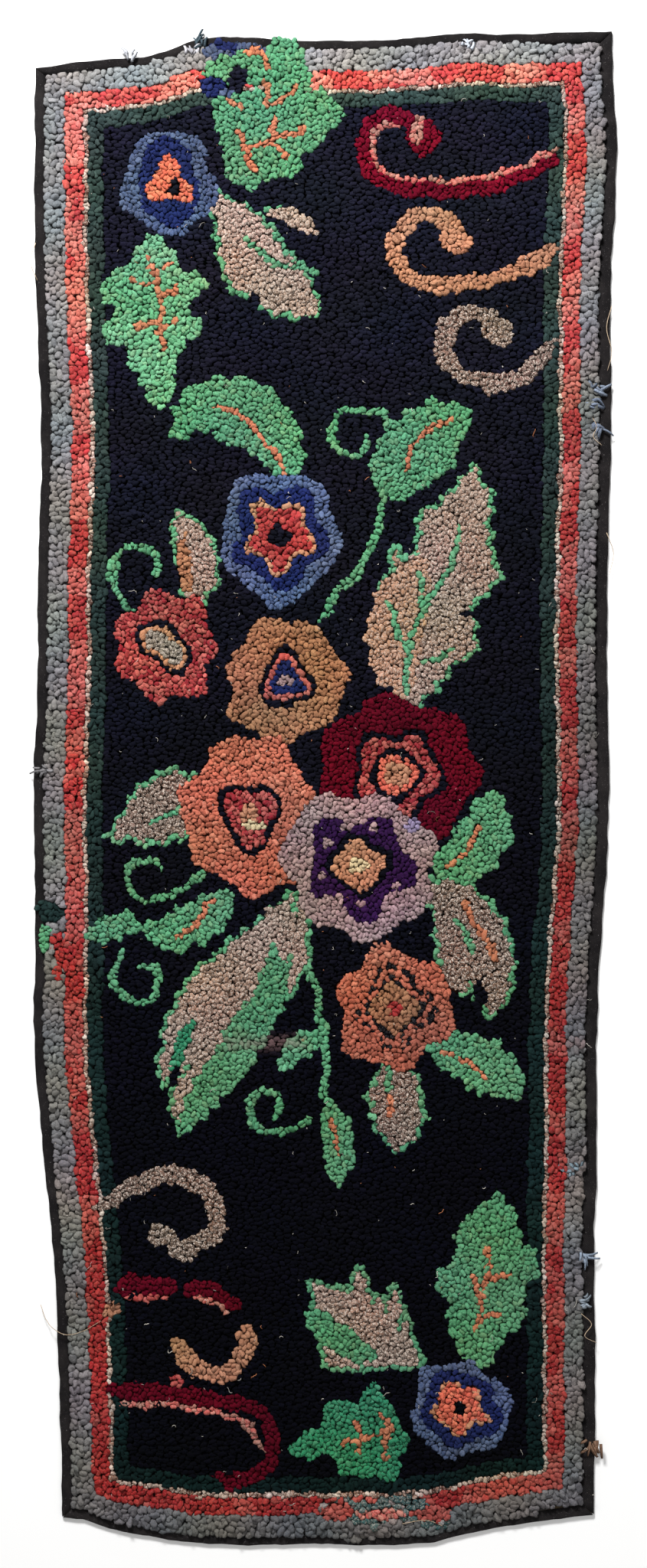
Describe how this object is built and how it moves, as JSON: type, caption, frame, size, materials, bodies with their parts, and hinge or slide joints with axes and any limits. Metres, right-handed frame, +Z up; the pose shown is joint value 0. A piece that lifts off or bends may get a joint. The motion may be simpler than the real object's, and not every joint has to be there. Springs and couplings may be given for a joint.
{
  "type": "hooked rug",
  "caption": "Runner-shaped hooked rug of looped wool strips with flowers, leaves and scrolls on a dark ground, bound with tape.",
  "frame": {"origin": "middle of the underside, on the floor", "axes": "+X across the rug, +Y along its length towards the end with the blue flower, +Z up out of the looped face"},
  "size_m": [0.6854, 1.778, 0.0101],
  "materials": {
    "hooked_wool": "looped wool strips, matt, with a soft fuzz",
    "twill_tape": "black cotton twill tape, slightly faded, matt"
  },
  "bodies": {
    "root": {"hooked_cloth": "hooked_wool", "binding_left": "twill_tape", "binding_right": "twill_tape", "binding_top": "twill_tape", "binding_bottom": "twill_tape"}
  },
  "joints": []
}
